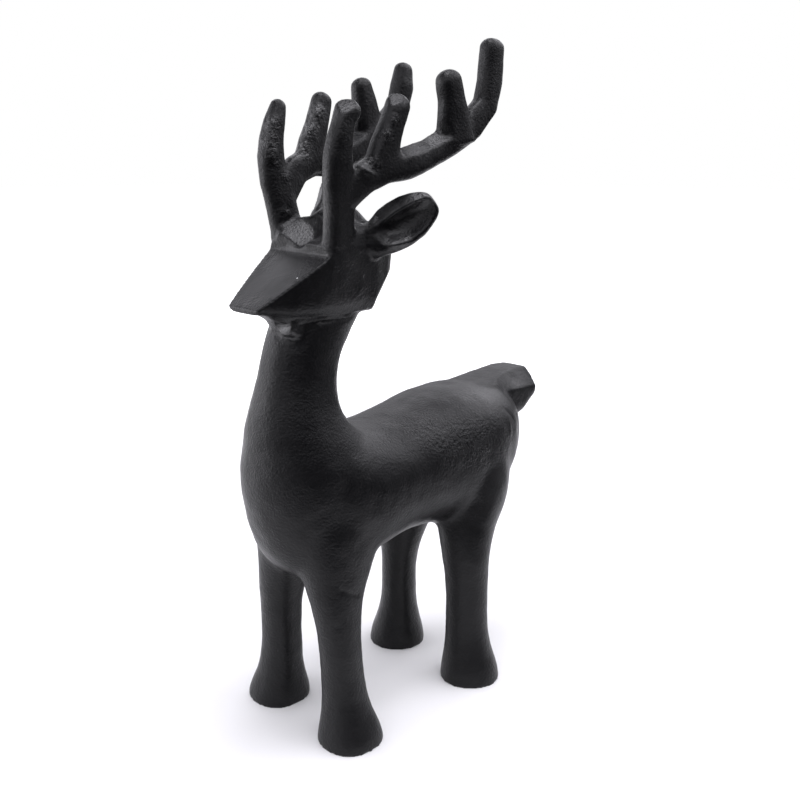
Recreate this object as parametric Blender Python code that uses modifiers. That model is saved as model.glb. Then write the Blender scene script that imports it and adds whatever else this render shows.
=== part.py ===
import math

import bmesh
import bpy
from mathutils import Vector

# A standing reindeer figurine, cast in one piece.
# The nose looks along -Y, up is +Z, and the origin is under the middle of its length.
# Figures marked as shares are millimetres on a figure HEIGHT_SHARE tall, turned to metres by MM.
HEIGHT = 0.360
HEIGHT_SHARE = 362.0
MM = HEIGHT / HEIGHT_SHARE

# Ends of the figure, before the origin is moved to the middle of its length
NOSE_END = -84.4
TAIL_END = 122.0
MIDDLE_Y = (NOSE_END + TAIL_END) / 2
GROUND = -1.0

# Fineness of the cast skin
TRUNK_VOXEL = 2.0
SKIN_VOXEL = 1.25
TRUNK_SMOOTHING = 22
SKIN_SMOOTHING = 3
SMOOTHING_STRENGTH = 0.5
TRIANGLES_KEPT = 8800
RING_POINTS = 40
TIP_STEPS = 5

# Colour of the black coat
COAT_COLOUR = (0.0125, 0.0127, 0.0137)
COAT_ROUGHNESS = 0.55
COAT_METALLIC = 0.0

# How far the legs of each pair stand apart and how far front legs are from rear legs
HOOF_SPREAD = 31.6
FRONT_HOOF_Y = -47.5
REAR_HOOF_Y = 47.5

# Half sizes are measured across (x) and along (y) the figure
# Front leg, from under the sole up into the shoulder: height, inward, back, half across, half along
FRONT_LEG = [
    (-9.0, 0.0, -0.4, 16.8, 16.8),
    (-4.0, 0.0, -0.4, 17.2, 17.2),
    (-1.0, 0.0, -0.4, 17.3, 17.3),
    (2.6, 0.1, -0.4, 17.3, 17.3),
    (8.0, 0.8, -0.4, 15.8, 15.8),
    (16.0, 2.4, -0.6, 13.3, 13.3),
    (25.0, 4.0, -0.8, 11.9, 11.9),
    (36.0, 5.2, -1.0, 11.3, 11.3),
    (50.0, 5.8, -1.4, 11.1, 11.3),
    (62.0, 6.7, -1.8, 11.3, 11.9),
    (74.0, 8.4, -1.4, 12.2, 13.7),
    (84.0, 10.6, 0.2, 13.8, 16.4),
    (92.0, 12.6, 2.2, 15.6, 19.4),
    (102.0, 13.2, 4.2, 16.2, 22.8),
    (114.0, 13.4, 4.8, 16.2, 23.6),
    (128.0, 15.0, 3.6, 15.0, 21.4),
    (142.0, 17.6, 1.0, 12.0, 16.4),
    (154.0, 20.0, 0.0, 8.0, 11.0),
]
# Rear leg, the same way up into the haunch
REAR_LEG = [
    (-9.0, 0.0, -0.4, 17.4, 17.2),
    (-4.0, 0.0, -0.4, 17.7, 17.5),
    (-1.0, 0.0, -0.4, 17.8, 17.6),
    (2.6, 0.0, -0.3, 17.6, 17.4),
    (8.0, 0.4, -0.5, 16.4, 16.2),
    (16.0, 1.2, -0.8, 14.4, 13.8),
    (25.0, 2.0, -1.0, 13.1, 11.8),
    (36.0, 2.4, -1.1, 12.6, 11.0),
    (50.0, 2.6, -1.2, 12.5, 10.9),
    (62.0, 3.2, -1.0, 12.9, 11.8),
    (76.0, 4.8, -0.4, 14.2, 14.4),
    (92.0, 7.2, 1.4, 16.6, 17.0),
    (106.0, 9.0, 6.0, 20.2, 20.2),
    (118.0, 11.0, 8.6, 21.6, 21.8),
    (134.0, 15.4, 9.8, 19.8, 19.8),
    (154.0, 19.6, 10.0, 11.0, 11.0),
]
LEG_POWER = 2.3
# Turn of each leg's section in plan, outward side towards the back
FRONT_LEG_TURN = 0.0
REAR_LEG_TURN = math.radians(45)

# Trunk, from the breast to the rump: y, top, bottom, half across
TRUNK = [
    (-65.0, 160.0, 112.0, 20.0),
    (-56.0, 168.0, 100.4, 30.4),
    (-42.0, 169.4, 93.4, 35.2),
    (-26.0, 164.4, 91.6, 37.2),
    (-12.0, 162.6, 95.2, 37.4),
    (2.0, 162.8, 97.8, 37.0),
    (20.0, 165.9, 97.0, 37.2),
    (32.0, 168.8, 94.8, 37.6),
    (44.0, 171.0, 94.6, 38.2),
    (66.0, 171.8, 101.0, 39.0),
    (82.0, 170.4, 108.0, 37.0),
    (94.0, 167.0, 117.0, 28.9),
    (101.0, 158.4, 129.0, 19.4),
]
TRUNK_POWER = 2.4

# Breast and neck, from below the breast to inside the head: z, y, half across, half along
NECK = [
    (86.0, -47.0, 10.0, 11.0),
    (92.0, -47.0, 18.0, 18.8),
    (98.0, -46.8, 23.8, 25.0),
    (106.0, -46.4, 28.4, 29.6),
    (116.0, -46.2, 31.0, 32.8),
    (126.0, -46.2, 32.0, 35.0),
    (138.0, -46.4, 32.4, 36.6),
    (150.0, -46.4, 32.2, 36.4),
    (160.0, -49.8, 28.6, 31.6),
    (170.0, -54.2, 24.7, 26.6),
    (180.0, -55.6, 21.2, 23.0),
    (193.0, -53.4, 18.4, 21.0),
    (205.0, -50.4, 17.4, 21.0),
    (216.0, -45.2, 17.8, 22.8),
    (228.0, -38.4, 19.0, 23.4),
    (240.0, -34.0, 17.0, 21.0),
]
NECK_POWER = 2.2

# Tail, from inside the rump to past its blunt end: y, top, bottom, half across
TAIL = [
    (74.0, 171.0, 148.0, 17.0),
    (90.0, 172.6, 146.0, 17.0),
    (102.0, 174.0, 144.0, 16.5),
    (112.0, 174.6, 147.0, 16.2),
    (122.0, 173.8, 155.4, 15.6),
    (128.0, 173.8, 160.0, 15.0),
]
TAIL_POWER = 4.5

# Head, slices across it from the nose to the nape: y, top, bottom, half across top, half across jaw
HEAD = [
    (-90.0, 240.0, 231.0, 13.4, 10.0),
    (-84.0, 244.0, 230.8, 15.0, 11.8),
    (-66.0, 254.0, 227.6, 20.6, 17.0),
    (-54.0, 260.0, 226.6, 24.2, 20.4),
    (-48.0, 263.5, 226.4, 25.8, 21.0),
    (-41.0, 266.0, 226.2, 26.2, 21.2),
    (-35.0, 270.0, 226.0, 25.6, 21.2),
    (-28.0, 273.0, 226.0, 24.4, 21.0),
    (-16.0, 273.0, 225.6, 22.8, 19.8),
    (-6.0, 267.0, 226.6, 18.8, 16.8),
    (2.6, 259.0, 241.0, 11.6, 9.4),
]
HEAD_POWER = 5.5

# Poll, the mound between the antlers: y, top, bottom, half across
POLL = [
    (-41.0, 268.0, 258.0, 9.0),
    (-35.0, 277.0, 258.0, 12.0),
    (-28.0, 280.0, 258.0, 13.5),
    (-18.0, 279.0, 258.0, 13.0),
    (-8.0, 271.0, 256.0, 10.0),
]
POLL_POWER = 2.2

# Throat, a wedge under the jaw that runs back into the neck: y, top, bottom, half across top and below
THROAT = [
    (-80.0, 232.0, 229.6, 11.0, 9.0),
    (-72.0, 232.0, 226.4, 13.5, 11.5),
    (-62.0, 232.0, 221.0, 15.5, 13.6),
    (-52.0, 232.0, 214.0, 15.5, 13.6),
]
THROAT_POWER = 3.0

# Flat of the muzzle, from the nose edge up to the brow edge, and the forehead standing on it
NOSE_EDGE = (-84.4, 233.4)
BROW_EDGE = (-49.6, 256.8)
FOREHEAD_LEAN = -0.14

# How far the flat cutters run past the figure: beside it, out from it, and past the muzzle's edges
CUTTER_HALF_WIDTH = 60.0
CUTTER_REACH = 20.0
MUZZLE_CUT_HALF_WIDTH = 26.0
NOSE_CUT_HEIGHTS = (200.0, 270.0)
TAIL_CUT_HEIGHTS = (130.0, 200.0)

# Antler, one side: x from the middle, y, z, half thickness, half depth along the line's own side
ANTLER_STEM = [
    (17.6, -38.0, 246.0, 5.4, 8.6),
    (18.6, -40.8, 257.0, 5.4, 8.8),
    (20.4, -41.2, 267.0, 5.4, 8.6),
    (22.4, -42.4, 278.0, 5.0, 8.2),
    (24.6, -44.8, 291.0, 5.0, 8.0),
    (26.0, -45.8, 303.0, 5.2, 7.0),
    (26.4, -44.5, 312.0, 5.2, 5.9),
    (26.6, -42.2, 320.0, 5.0, 5.1),
    (26.7, -39.8, 326.0, 4.6, 4.7),
]
ANTLER_BEAM = [
    (23.6, -40.0, 285.0, 4.8, 7.8),
    (26.4, -30.0, 293.4, 5.0, 7.8),
    (28.0, -18.0, 298.0, 5.0, 8.0),
    (29.2, -4.0, 299.6, 5.0, 7.6),
    (30.2, 10.0, 303.8, 5.0, 6.6),
    (31.6, 24.0, 310.4, 5.0, 7.6),
    (32.4, 38.4, 318.0, 5.0, 7.5),
    (32.8, 48.8, 328.0, 5.2, 6.9),
    (32.8, 52.2, 340.0, 5.4, 6.7),
    (32.8, 53.4, 353.4, 5.2, 6.4),
]
ANTLER_SECOND_TINE = [
    (27.8, -20.0, 299.0, 4.8, 9.4),
    (28.2, -17.4, 309.0, 4.8, 7.8),
    (28.6, -13.6, 318.0, 4.8, 6.4),
    (28.9, -9.6, 330.8, 4.8, 5.8),
]
ANTLER_THIRD_TINE = [
    (32.6, 26.6, 309.0, 5.0, 13.2),
    (32.8, 25.8, 320.0, 5.0, 9.8),
    (32.8, 23.6, 331.0, 5.2, 7.2),
    (32.7, 21.4, 339.4, 5.2, 6.4),
]
ANTLER_POWER = 3.0
# Turn of the antler's flat side in plan, at the root of its stem and from the first fork on
ROOT_TOE = math.radians(-14)
FORK_TOE = math.radians(5)
FORK_HEIGHT = 300.0
# The two antlers were dressed by hand, so their ends differ: added height and added half size
# for the animal's left side, 1, and its right side, -1
STEM_END = {1: (-2.2, 1.2), -1: (1.1, -0.8)}
BEAM_END = {1: (3.0, 0.0), -1: (-4.5, -0.9)}
SECOND_TINE_END = {1: (-3.4, 0.3), -1: (0.0, -0.4)}
THIRD_TINE_END = {1: (0.0, 0.2), -1: (-0.2, -0.6)}
# The right antler's beam leaves its stem a little higher
BEAM_ROOT_LIFT = {1: 0.0, -1: 2.2}

# Ear, one side: its root, its tip, how it faces, and its leaf shape
EAR_ROOT = (19.0, -22.0, 260.0)
EAR_TIP = (40.2, 4.6, 281.6)
EAR_FACES = (0.70, -0.62, 0.10)
EAR_THICKNESS = 6.2
EAR_HOLLOW = 9.4
EAR_RIM = 0.80
# Ear stations: share of its length, half width, share of the hollow's depth
EAR = [
    (0.0, 8.0, 0.0),
    (0.16, 9.8, 0.0),
    (0.32, 11.6, 0.5),
    (0.50, 12.2, 1.0),
    (0.66, 11.6, 1.0),
    (0.80, 10.0, 0.9),
    (0.91, 8.0, 0.5),
    (0.98, 5.6, 0.0),
    (1.0, 3.4, 0.0),
]


def place(x, y, z):
    """Turns shares measured from the stance into metres from the origin."""
    return Vector((x, y - MIDDLE_Y, z - GROUND)) * MM


def rounded_section(centre, across, deep, half_across, half_deep, power):
    """Points of a superellipse: a circle at power 2, squarer above it."""
    points = []
    for step in range(RING_POINTS):
        angle = 2 * math.pi * step / RING_POINTS
        cosine = math.cos(angle)
        sine = math.sin(angle)
        side = math.copysign(abs(cosine) ** (2 / power), cosine) * half_across
        front = math.copysign(abs(sine) ** (2 / power), sine) * half_deep
        points.append(centre + (across * side + deep * front) * MM)
    return points


def loft(name, rings):
    """Closes a skin over rings of equal count, with a centre point in each end."""
    mesh = bpy.data.meshes.new(name)
    built = bmesh.new()
    rows = [[built.verts.new(point) for point in ring] for ring in rings]
    count = len(rows[0])
    for lower, upper in zip(rows, rows[1:]):
        for step in range(count):
            after = (step + 1) % count
            built.faces.new((lower[step], lower[after], upper[after], upper[step]))
    for row in (rows[0], rows[-1]):
        middle = built.verts.new(sum((v.co for v in row), Vector()) / count)
        for step in range(count):
            built.faces.new((row[step], row[(step + 1) % count], middle))
    bmesh.ops.recalc_face_normals(built, faces=built.faces)
    built.to_mesh(mesh)
    built.free()
    part = bpy.data.objects.new(name, mesh)
    forms.objects.link(part)
    return part


def limb(name, stations, side, root_toe):
    """Sweeps a rounded flat bar through its stations and rounds off its far end."""
    centres = [place(x, y, z) for x, y, z, thin, deep in stations]
    last = len(stations) - 1
    rings = []
    stem_height = FORK_HEIGHT - ANTLER_STEM[0][2]
    for index, (x, y, z, thin, deep) in enumerate(stations):
        below_fork = max(0.0, FORK_HEIGHT - z) / stem_height
        toe = FORK_TOE + (root_toe - FORK_TOE) * below_fork
        thick_side = Vector((math.cos(toe), -side * math.sin(toe), 0))
        along = (centres[min(index + 1, last)] - centres[max(index - 1, 0)]).normalized()
        deep_side = along.cross(thick_side).normalized()
        across = deep_side.cross(along).normalized()
        rings.append(rounded_section(centres[index], across, deep_side, thin, deep, ANTLER_POWER))
    tip_reach = min(thin, deep)
    for step in range(1, TIP_STEPS + 1):
        turn = math.pi / 2 * step / (TIP_STEPS + 1)
        centre = centres[last] + along * (math.sin(turn) * tip_reach * MM)
        thin_left = thin * math.cos(turn)
        deep_left = deep * math.cos(turn)
        rings.append(rounded_section(centre, across, deep_side, thin_left, deep_left, ANTLER_POWER))
    return loft(name, rings)


def leg(name, side, hoof_y, stations, turn):
    """One leg as upright slices; side is 1 for the animal's left and -1 for its right."""
    across = Vector((side * math.cos(turn), math.sin(turn), 0))
    along = Vector((-side * math.sin(turn), math.cos(turn), 0))
    rings = []
    for height, inward, back, half_across, half_along in stations:
        centre = place(side * (HOOF_SPREAD - inward), hoof_y + back, height)
        rings.append(rounded_section(centre, across, along, half_across, half_along, LEG_POWER))
    return loft(name, rings)


def ear(name, side):
    """A leaf with a scooped face, closed at both ends."""
    root = place(side * EAR_ROOT[0], EAR_ROOT[1], EAR_ROOT[2])
    tip = place(side * EAR_TIP[0], EAR_TIP[1], EAR_TIP[2])
    faces = Vector((side * EAR_FACES[0], EAR_FACES[1], EAR_FACES[2]))
    length = (tip - root).normalized()
    faces = (faces - length * faces.dot(length)).normalized()
    wide = faces.cross(length).normalized()
    rings = []
    for share, half_width, hollow in EAR:
        centre = root.lerp(tip, share)
        ring = []
        for step in range(RING_POINTS):
            angle = 2 * math.pi * step / RING_POINTS
            across = math.cos(angle)
            thick = math.sin(angle) * EAR_THICKNESS * min(1.0, half_width / EAR_THICKNESS)
            if thick > 0 and abs(across) < EAR_RIM:
                scoop = 1 - (across / EAR_RIM) ** 2
                thick = thick - EAR_HOLLOW * hollow * scoop
            ring.append(centre + (wide * across * half_width + faces * thick) * MM)
        rings.append(ring)
    return loft(name, rings)


def across_slice(y, top, bottom, half_top, half_bottom, power):
    """An upright slice whose width changes from its bottom to its top."""
    half_high = (top - bottom) / 2
    middle = (top + bottom) / 2
    points = []
    for step in range(RING_POINTS):
        angle = 2 * math.pi * step / RING_POINTS
        cosine = math.cos(angle)
        sine = math.sin(angle)
        side = math.copysign(abs(cosine) ** (2 / power), cosine)
        rise = math.copysign(abs(sine) ** (2 / power), sine)
        half_across = half_bottom + (half_top - half_bottom) * (rise + 1) / 2
        points.append(place(side * half_across, y, middle + rise * half_high))
    return points


def join(name, pieces):
    """Puts the skins of several pieces into one object, still overlapping."""
    mesh = bpy.data.meshes.new(name)
    built = bmesh.new()
    depsgraph = bpy.context.evaluated_depsgraph_get()
    for piece in pieces:
        finished = piece.evaluated_get(depsgraph).to_mesh()
        built.from_mesh(finished)
        piece.to_mesh_clear()
    built.to_mesh(mesh)
    built.free()
    for piece in pieces:
        bpy.data.objects.remove(piece)
    joined = bpy.data.objects.new(name, mesh)
    forms.objects.link(joined)
    return joined


def melt(part, voxel, smoothing):
    """Unites overlapping skins into one and softens the joins."""
    skin = part.modifiers.new("one skin", "REMESH")
    skin.mode = "VOXEL"
    skin.voxel_size = voxel * MM
    soft = part.modifiers.new("soft joins", "SMOOTH")
    soft.factor = SMOOTHING_STRENGTH
    soft.iterations = round(smoothing)
    skin.use_smooth_shade = True
    bpy.context.view_layer.update()


def prism(name, profile, half_width):
    """A cutter with a (y, z) profile, drawn out to both sides."""
    mesh = bpy.data.meshes.new(name)
    built = bmesh.new()
    left = [built.verts.new(place(half_width, y, z)) for y, z in profile]
    right = [built.verts.new(place(-half_width, y, z)) for y, z in profile]
    built.faces.new(left)
    built.faces.new(right[::-1])
    count = len(profile)
    for step in range(count):
        after = (step + 1) % count
        built.faces.new((left[after], left[step], right[step], right[after]))
    bmesh.ops.recalc_face_normals(built, faces=built.faces)
    built.to_mesh(mesh)
    built.free()
    cutter = bpy.data.objects.new(name, mesh)
    cutters.objects.link(cutter)
    cutter.hide_render = True
    cutter.display_type = "WIRE"
    return cutter


def cut(part, cutter):
    """Takes the cutter out of the part."""
    away = part.modifiers.new(cutter.name, "BOOLEAN")
    away.operation = "DIFFERENCE"
    away.solver = "EXACT"
    away.object = cutter


for thing in list(bpy.data.objects):
    bpy.data.objects.remove(thing)

forms = bpy.data.collections.new("reindeer figurine")
cutters = bpy.data.collections.new("cutters")
bpy.context.scene.collection.children.link(forms)
bpy.context.scene.collection.children.link(cutters)

# Trunk, neck and legs, melted together first so that their joins are broad
trunk_rings = [across_slice(y, top, bottom, half, half, TRUNK_POWER) for y, top, bottom, half in TRUNK]
broad = [loft("trunk", trunk_rings)]
neck_rings = []
for z, y, half_across, half_along in NECK:
    neck_rings.append(
        rounded_section(
            place(0, y, z), Vector((1, 0, 0)), Vector((0, 1, 0)), half_across, half_along, NECK_POWER
        )
    )
broad.append(loft("neck", neck_rings))
for side in (1, -1):
    broad.append(leg("front leg", side, FRONT_HOOF_Y, FRONT_LEG, FRONT_LEG_TURN))
    broad.append(leg("rear leg", side, REAR_HOOF_Y, REAR_LEG, REAR_LEG_TURN))
trunk = join("trunk with legs", broad)
melt(trunk, TRUNK_VOXEL, TRUNK_SMOOTHING)

# Head, tail, antlers and ears, which keep crisper edges
crisp = [trunk]
crisp.append(loft("head", [across_slice(*station, HEAD_POWER) for station in HEAD]))
tail_rings = [across_slice(y, top, bottom, half, half, TAIL_POWER) for y, top, bottom, half in TAIL]
crisp.append(loft("tail", tail_rings))
poll_rings = [across_slice(y, top, bottom, half, half, POLL_POWER) for y, top, bottom, half in POLL]
crisp.append(loft("poll", poll_rings))
crisp.append(loft("throat", [across_slice(*station, THROAT_POWER) for station in THROAT]))
ends = {
    "stem": STEM_END,
    "beam": BEAM_END,
    "second tine": SECOND_TINE_END,
    "third tine": THIRD_TINE_END,
}
for side in (1, -1):
    for name, stations, root_toe in (
        ("stem", ANTLER_STEM, ROOT_TOE),
        ("beam", ANTLER_BEAM, FORK_TOE),
        ("second tine", ANTLER_SECOND_TINE, FORK_TOE),
        ("third tine", ANTLER_THIRD_TINE, FORK_TOE),
    ):
        mirrored = [(side * x, y, z, thin, deep) for x, y, z, thin, deep in stations]
        taller, fuller = ends[name][side]
        x, y, z, thin, deep = mirrored[-1]
        mirrored[-1] = (x, y, z + taller, thin + fuller, deep + fuller)
        if name == "beam":
            for index in (1, 2):
                x, y, z, thin, deep = mirrored[index]
                mirrored[index] = (x, y, z + BEAM_ROOT_LIFT[side], thin, deep)
        crisp.append(limb(name, mirrored, side, root_toe))
    crisp.append(ear("ear", side))
reindeer = join("reindeer", crisp)
melt(reindeer, SKIN_VOXEL, SKIN_SMOOTHING)

# Fewer faces, before the flats are cut so that the flats stay true
fewer = reindeer.modifiers.new("fewer faces", "DECIMATE")
fewer.ratio = 1.0
depsgraph = bpy.context.evaluated_depsgraph_get()
dense = reindeer.evaluated_get(depsgraph).to_mesh()
dense.calc_loop_triangles()
fewer.ratio = TRIANGLES_KEPT / len(dense.loop_triangles)
reindeer.evaluated_get(depsgraph).to_mesh_clear()

# Flats: soles, muzzle with the forehead standing on it, nose end, tail end
first_y = NOSE_END - CUTTER_REACH
last_y = TAIL_END + CUTTER_REACH
under = GROUND - CUTTER_REACH
sole_profile = [(first_y, GROUND), (last_y, GROUND), (last_y, under), (first_y, under)]
cut(reindeer, prism("soles", sole_profile, CUTTER_HALF_WIDTH))

nose_y, nose_height = NOSE_EDGE
brow_y, brow_height = BROW_EDGE
slope = (brow_height - nose_height) / (brow_y - nose_y)
forehead_top = brow_height + CUTTER_REACH
muzzle_profile = [
    (first_y, nose_height - (nose_y - first_y) * slope),
    BROW_EDGE,
    (brow_y + CUTTER_REACH * FOREHEAD_LEAN, forehead_top),
    (first_y, forehead_top),
]
cut(reindeer, prism("muzzle", muzzle_profile, MUZZLE_CUT_HALF_WIDTH))

low, high = NOSE_CUT_HEIGHTS
nose_profile = [(NOSE_END, low), (NOSE_END, high), (first_y, high), (first_y, low)]
cut(reindeer, prism("nose end", nose_profile, MUZZLE_CUT_HALF_WIDTH))

low, high = TAIL_CUT_HEIGHTS
tail_profile = [(TAIL_END, low), (TAIL_END, high), (last_y, high), (last_y, low)]
cut(reindeer, prism("tail end", tail_profile, CUTTER_HALF_WIDTH))

coat = bpy.data.materials.new("matt black coat")
coat.use_nodes = True
shader = coat.node_tree.nodes["Principled BSDF"]
shader.inputs["Base Color"].default_value = (*COAT_COLOUR, 1)
shader.inputs["Roughness"].default_value = COAT_ROUGHNESS
shader.inputs["Metallic"].default_value = COAT_METALLIC
reindeer.data.materials.append(coat)
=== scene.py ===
import math

import bmesh
import bpy
import numpy as np
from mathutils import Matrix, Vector


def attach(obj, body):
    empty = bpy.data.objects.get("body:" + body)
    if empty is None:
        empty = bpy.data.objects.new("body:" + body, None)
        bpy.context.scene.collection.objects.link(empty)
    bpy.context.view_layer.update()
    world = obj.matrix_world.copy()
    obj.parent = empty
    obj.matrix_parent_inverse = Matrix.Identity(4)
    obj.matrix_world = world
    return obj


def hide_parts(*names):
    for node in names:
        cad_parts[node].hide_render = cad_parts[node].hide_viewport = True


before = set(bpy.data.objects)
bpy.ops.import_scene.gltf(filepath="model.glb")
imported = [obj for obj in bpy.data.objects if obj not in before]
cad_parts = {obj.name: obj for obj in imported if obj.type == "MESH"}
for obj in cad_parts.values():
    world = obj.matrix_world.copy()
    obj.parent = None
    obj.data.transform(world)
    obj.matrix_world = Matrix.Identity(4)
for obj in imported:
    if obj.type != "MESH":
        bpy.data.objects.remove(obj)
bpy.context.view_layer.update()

# Trunk, neck and legs. The real figure is one sand casting, so these are the broad
# forms of its pattern: rounded bars and barrels that run into each other with wide, soft joins.
# Figures marked as shares are millimetres on a figure HEIGHT_SHARE tall, turned to metres by MM.
HEIGHT = 0.360
HEIGHT_SHARE = 362.0
MM = HEIGHT / HEIGHT_SHARE
NOSE_END = -84.4
TAIL_END = 122.0
MIDDLE_Y = (NOSE_END + TAIL_END) / 2
GROUND = -1.0
RING_POINTS = 64
HOOF_SPREAD = 31.6
FRONT_HOOF_Y = -47.5
REAR_HOOF_Y = 47.5
# Front leg, from under the sole up into the shoulder: height, inward, back, half across, half along
FRONT_LEG = [
    (-9.0, 0.0, -0.4, 16.8, 16.8),
    (-4.0, 0.0, -0.4, 17.2, 17.2),
    (-1.0, 0.0, -0.4, 17.3, 17.3),
    (2.6, 0.1, -0.4, 17.3, 17.3),
    (8.0, 0.8, -0.4, 15.8, 15.8),
    (16.0, 2.4, -0.6, 13.3, 13.3),
    (25.0, 4.0, -0.8, 11.9, 11.9),
    (36.0, 5.2, -1.0, 11.3, 11.3),
    (50.0, 5.8, -1.4, 11.1, 11.3),
    (62.0, 6.7, -1.8, 11.3, 11.9),
    (74.0, 8.4, -1.4, 12.2, 13.7),
    (84.0, 10.6, 0.2, 13.8, 16.4),
    (92.0, 12.6, 2.2, 15.6, 19.4),
    (102.0, 13.2, 4.2, 16.2, 22.8),
    (114.0, 13.4, 4.8, 16.2, 23.6),
    (128.0, 15.0, 3.6, 15.0, 21.4),
    (142.0, 17.6, 1.0, 12.0, 16.4),
    (154.0, 20.0, 0.0, 8.0, 11.0),
]
# Rear leg, the same way up into the haunch
REAR_LEG = [
    (-9.0, 0.0, -0.4, 17.4, 17.2),
    (-4.0, 0.0, -0.4, 17.7, 17.5),
    (-1.0, 0.0, -0.4, 17.8, 17.6),
    (2.6, 0.0, -0.3, 17.6, 17.4),
    (8.0, 0.4, -0.5, 16.4, 16.2),
    (16.0, 1.2, -0.8, 14.4, 13.8),
    (25.0, 2.0, -1.0, 13.1, 11.8),
    (36.0, 2.4, -1.1, 12.6, 11.0),
    (50.0, 2.6, -1.2, 12.5, 10.9),
    (62.0, 3.2, -1.0, 12.9, 11.8),
    (76.0, 4.8, -0.4, 14.2, 14.4),
    (92.0, 7.8, 3.0, 17.0, 17.2),
    (106.0, 10.6, 9.2, 20.8, 20.8),
    (118.0, 12.8, 13.0, 22.2, 22.4),
    (130.0, 15.4, 15.0, 22.0, 22.0),
    (142.0, 17.0, 15.0, 19.0, 19.0),
    (156.0, 20.6, 13.0, 10.0, 10.0),
]
LEG_POWER = 2.3
FRONT_LEG_TURN = 0.0
REAR_LEG_TURN = math.radians(45)
# Trunk, from the breast to the rump: y, top, bottom, half across
TRUNK = [
    (-65.0, 160.0, 112.0, 20.0),
    (-56.0, 168.0, 100.4, 30.4),
    (-42.0, 169.4, 93.4, 35.2),
    (-26.0, 164.4, 91.6, 37.2),
    (-12.0, 162.6, 95.2, 37.4),
    (2.0, 162.8, 97.8, 37.0),
    (20.0, 165.9, 97.0, 37.2),
    (32.0, 168.8, 94.8, 37.6),
    (44.0, 171.0, 94.6, 38.2),
    (66.0, 171.8, 101.0, 39.0),
    (82.0, 170.4, 108.0, 34.4),
    (94.0, 167.0, 117.0, 26.8),
    (101.0, 158.4, 129.0, 19.4),
]
TRUNK_POWER = 2.4
# Breast and neck, from below the breast to inside the head: z, y, half across, half along
NECK = [
    (86.0, -47.0, 10.0, 11.0),
    (92.0, -47.0, 18.0, 18.8),
    (98.0, -46.8, 23.8, 25.0),
    (106.0, -46.4, 28.4, 29.6),
    (116.0, -46.2, 31.0, 32.8),
    (126.0, -46.2, 32.0, 35.0),
    (138.0, -46.4, 32.4, 36.6),
    (150.0, -46.4, 32.2, 36.4),
    (160.0, -49.8, 28.6, 31.6),
    (170.0, -54.2, 24.7, 26.6),
    (180.0, -55.6, 21.2, 23.0),
    (193.0, -53.4, 18.4, 21.0),
    (205.0, -50.4, 17.4, 21.0),
    (216.0, -45.2, 17.8, 22.8),
    (228.0, -38.4, 19.0, 23.4),
    (240.0, -34.0, 17.0, 21.0),
]
NECK_POWER = 2.2
TRUNK_VOXEL = 2.0
TRUNK_SMOOTHING = 22
# How far each step of smoothing draws a point towards its neighbours
SOFTENING = 0.5


def place(x, y, z):
    """Turns shares measured from the stance into metres from the origin."""
    return Vector((x, y - MIDDLE_Y, z - GROUND)) * MM


def rounded_section(centre, across, deep, half_across, half_deep, power):
    """Points of a superellipse: a circle at power 2, squarer above it."""
    points = []
    for step in range(RING_POINTS):
        angle = 2 * math.pi * step / RING_POINTS
        cosine = math.cos(angle)
        sine = math.sin(angle)
        side = math.copysign(abs(cosine) ** (2 / power), cosine) * half_across
        front = math.copysign(abs(sine) ** (2 / power), sine) * half_deep
        points.append(centre + (across * side + deep * front) * MM)
    return points


def loft(name, rings):
    """Closes a skin over rings of equal count, with a centre point in each end."""
    mesh = bpy.data.meshes.new(name)
    built = bmesh.new()
    rows = [[built.verts.new(point) for point in ring] for ring in rings]
    count = len(rows[0])
    for lower, upper in zip(rows, rows[1:]):
        for step in range(count):
            after = (step + 1) % count
            built.faces.new((lower[step], lower[after], upper[after], upper[step]))
    for row in (rows[0], rows[-1]):
        middle = built.verts.new(sum((v.co for v in row), Vector()) / count)
        for step in range(count):
            built.faces.new((row[step], row[(step + 1) % count], middle))
    bmesh.ops.recalc_face_normals(built, faces=built.faces)
    built.to_mesh(mesh)
    built.free()
    form = bpy.data.objects.new(name, mesh)
    bpy.context.scene.collection.objects.link(form)
    return form


def leg(name, side, hoof_y, stations, turn):
    """One leg as upright slices; side is 1 for the animal's left and -1 for its right."""
    across = Vector((side * math.cos(turn), math.sin(turn), 0))
    along = Vector((-side * math.sin(turn), math.cos(turn), 0))
    rings = []
    for height, inward, back, half_across, half_along in stations:
        centre = place(side * (HOOF_SPREAD - inward), hoof_y + back, height)
        rings.append(rounded_section(centre, across, along, half_across, half_along, LEG_POWER))
    return loft(name, rings)


def across_slice(y, top, bottom, half_top, half_bottom, power):
    """An upright slice whose width changes from its bottom to its top."""
    half_high = (top - bottom) / 2
    middle = (top + bottom) / 2
    points = []
    for step in range(RING_POINTS):
        angle = 2 * math.pi * step / RING_POINTS
        cosine = math.cos(angle)
        sine = math.sin(angle)
        side = math.copysign(abs(cosine) ** (2 / power), cosine)
        rise = math.copysign(abs(sine) ** (2 / power), sine)
        half_across = half_bottom + (half_top - half_bottom) * (rise + 1) / 2
        points.append(place(side * half_across, y, middle + rise * half_high))
    return points


def barrel(name, stations, power, aside=0.0):
    """Lofts upright slices, moved aside; a station's one half width serves both top and bottom."""
    shift = Vector((aside * MM, 0, 0))
    rings = []
    for y, top, bottom, *halves in stations:
        ring = across_slice(y, top, bottom, halves[0], halves[-1], power)
        rings.append([point + shift for point in ring])
    return loft(name, rings)


def join(name, forms):
    """Puts the skins of several forms into one object, still overlapping."""
    built = bmesh.new()
    for form in forms:
        built.from_mesh(form.data)
        bpy.data.objects.remove(form)
    mesh = bpy.data.meshes.new(name)
    built.to_mesh(mesh)
    built.free()
    joined = bpy.data.objects.new(name, mesh)
    bpy.context.scene.collection.objects.link(joined)
    return joined


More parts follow.
